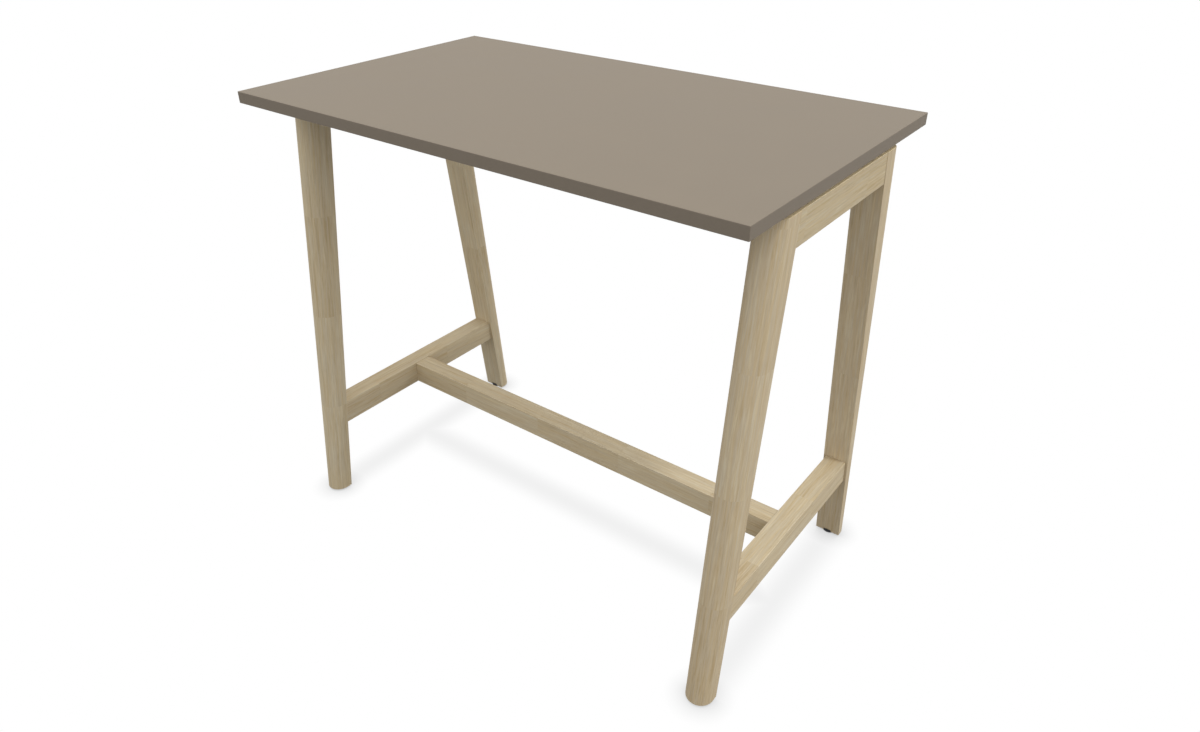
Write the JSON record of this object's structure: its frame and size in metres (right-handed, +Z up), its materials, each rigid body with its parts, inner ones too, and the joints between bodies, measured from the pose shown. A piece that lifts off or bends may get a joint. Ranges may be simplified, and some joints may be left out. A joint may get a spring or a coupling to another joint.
{
  "type": "standing meeting table",
  "caption": "Standing-height meeting table: rectangular laminate top on splayed wooden trestles with half-round tapered legs, tied by a low foot-rest stretcher, on levelling feet.",
  "frame": {"origin": "on the floor under the middle of the table", "axes": "+X along the length to the right-hand trestle, +Y to the back, so that -Y is the front, +Z up"},
  "size_m": [1.2, 0.705, 1.05],
  "materials": {
    "taupe_laminate": "wood-based board with a matt taupe laminate face",
    "taupe_edge_band": "matt taupe edge band, matched to the board",
    "pale_ash": "pale washed ash, matt lacquer",
    "beech_dowel": "raw beech",
    "black_plastic": "moulded, satin",
    "zinc_plated_steel": "bright zinc plating"
  },
  "bodies": {
    "root": {"tabletop_core": "taupe_laminate", "edge_band_front": "taupe_edge_band", "edge_band_back": "taupe_edge_band", "edge_band_left": "taupe_edge_band", "edge_band_right": "taupe_edge_band", "leg_front_left": "pale_ash", "leg_back_left": "pale_ash", "leg_front_right": "pale_ash", "leg_back_right": "pale_ash", "top_rail_left": "pale_ash", "top_rail_right": "pale_ash", "lower_rail_left": "pale_ash", "lower_rail_right": "pale_ash", "stretcher": "pale_ash", "dowel_top_rail_front_left_upper": "beech_dowel", "dowel_top_rail_front_left_lower": "beech_dowel", "dowel_lower_rail_front_left_upper": "beech_dowel", "dowel_lower_rail_front_left_lower": "beech_dowel", "dowel_top_rail_back_left_upper": "beech_dowel", "dowel_top_rail_back_left_lower": "beech_dowel", "dowel_lower_rail_back_left_upper": "beech_dowel", "dowel_lower_rail_back_left_lower": "beech_dowel", "dowel_top_rail_front_right_upper": "beech_dowel", "dowel_top_rail_front_right_lower": "beech_dowel", "dowel_lower_rail_front_right_upper": "beech_dowel", "dowel_lower_rail_front_right_lower": "beech_dowel", "dowel_top_rail_back_right_upper": "beech_dowel", "dowel_top_rail_back_right_lower": "beech_dowel", "dowel_lower_rail_back_right_upper": "beech_dowel", "dowel_lower_rail_back_right_lower": "beech_dowel", "dowel_stretcher_front_left": "beech_dowel", "dowel_stretcher_back_left": "beech_dowel", "dowel_stretcher_front_right": "beech_dowel", "dowel_stretcher_back_right": "beech_dowel", "cam_lock_left": "zinc_plated_steel", "cam_bolt_left": "zinc_plated_steel", "cam_lock_right": "zinc_plated_steel", "cam_bolt_right": "zinc_plated_steel", "spacer_front_left": "black_plastic", "board_screw_front_left": "zinc_plated_steel", "spacer_back_left": "black_plastic", "board_screw_back_left": "zinc_plated_steel", "spacer_front_right": "black_plastic", "board_screw_front_right": "zinc_plated_steel", "spacer_back_right": "black_plastic", "board_screw_back_right": "zinc_plated_steel", "foot_insert_front_left": "zinc_plated_steel", "foot_insert_back_left": "zinc_plated_steel", "foot_insert_front_right": "zinc_plated_steel", "foot_insert_back_right": "zinc_plated_steel"},
    "glide_front_left": {"foot_glide_front_left": "black_plastic"},
    "stud_front_left": {"foot_stud_front_left": "zinc_plated_steel"},
    "glide_back_left": {"foot_glide_back_left": "black_plastic"},
    "stud_back_left": {"foot_stud_back_left": "zinc_plated_steel"},
    "glide_front_right": {"foot_glide_front_right": "black_plastic"},
    "stud_front_right": {"foot_stud_front_right": "zinc_plated_steel"},
    "glide_back_right": {"foot_glide_back_right": "black_plastic"},
    "stud_back_right": {"foot_stud_back_right": "zinc_plated_steel"}
  },
  "joints": [
    {"name": "foot_height_front_left", "type": "slide", "parent": "root", "child": "glide_front_left", "axis": [0, 0, -1], "range_m": [0, 0.01]},
    {"name": "foot_turn_front_left", "type": "hinge", "parent": "glide_front_left", "child": "stud_front_left", "pos_m": [-0.5665, -0.313, 0], "axis": [0, 0, -1], "range_deg": [0, 2880]},
    {"name": "foot_height_back_left", "type": "slide", "parent": "root", "child": "glide_back_left", "axis": [0, 0, -1], "range_m": [0, 0.01]},
    {"name": "foot_turn_back_left", "type": "hinge", "parent": "glide_back_left", "child": "stud_back_left", "pos_m": [-0.5665, 0.313, 0], "axis": [0, 0, -1], "range_deg": [0, 2880]},
    {"name": "foot_height_front_right", "type": "slide", "parent": "root", "child": "glide_front_right", "axis": [0, 0, -1], "range_m": [0, 0.01]},
    {"name": "foot_turn_front_right", "type": "hinge", "parent": "glide_front_right", "child": "stud_front_right", "pos_m": [0.5665, -0.313, 0], "axis": [0, 0, -1], "range_deg": [0, 2880]},
    {"name": "foot_height_back_right", "type": "slide", "parent": "root", "child": "glide_back_right", "axis": [0, 0, -1], "range_m": [0, 0.01]},
    {"name": "foot_turn_back_right", "type": "hinge", "parent": "glide_back_right", "child": "stud_back_right", "pos_m": [0.5665, 0.313, 0], "axis": [0, 0, -1], "range_deg": [0, 2880]}
  ],
  "couplings": [
    {"joint": "foot_turn_front_left", "follows": "foot_height_front_left", "rad_per_m": 5026.5},
    {"joint": "foot_turn_back_left", "follows": "foot_height_back_left", "rad_per_m": 5026.5},
    {"joint": "foot_turn_front_right", "follows": "foot_height_front_right", "rad_per_m": 5026.5},
    {"joint": "foot_turn_back_right", "follows": "foot_height_back_right", "rad_per_m": 5026.5}
  ]
}
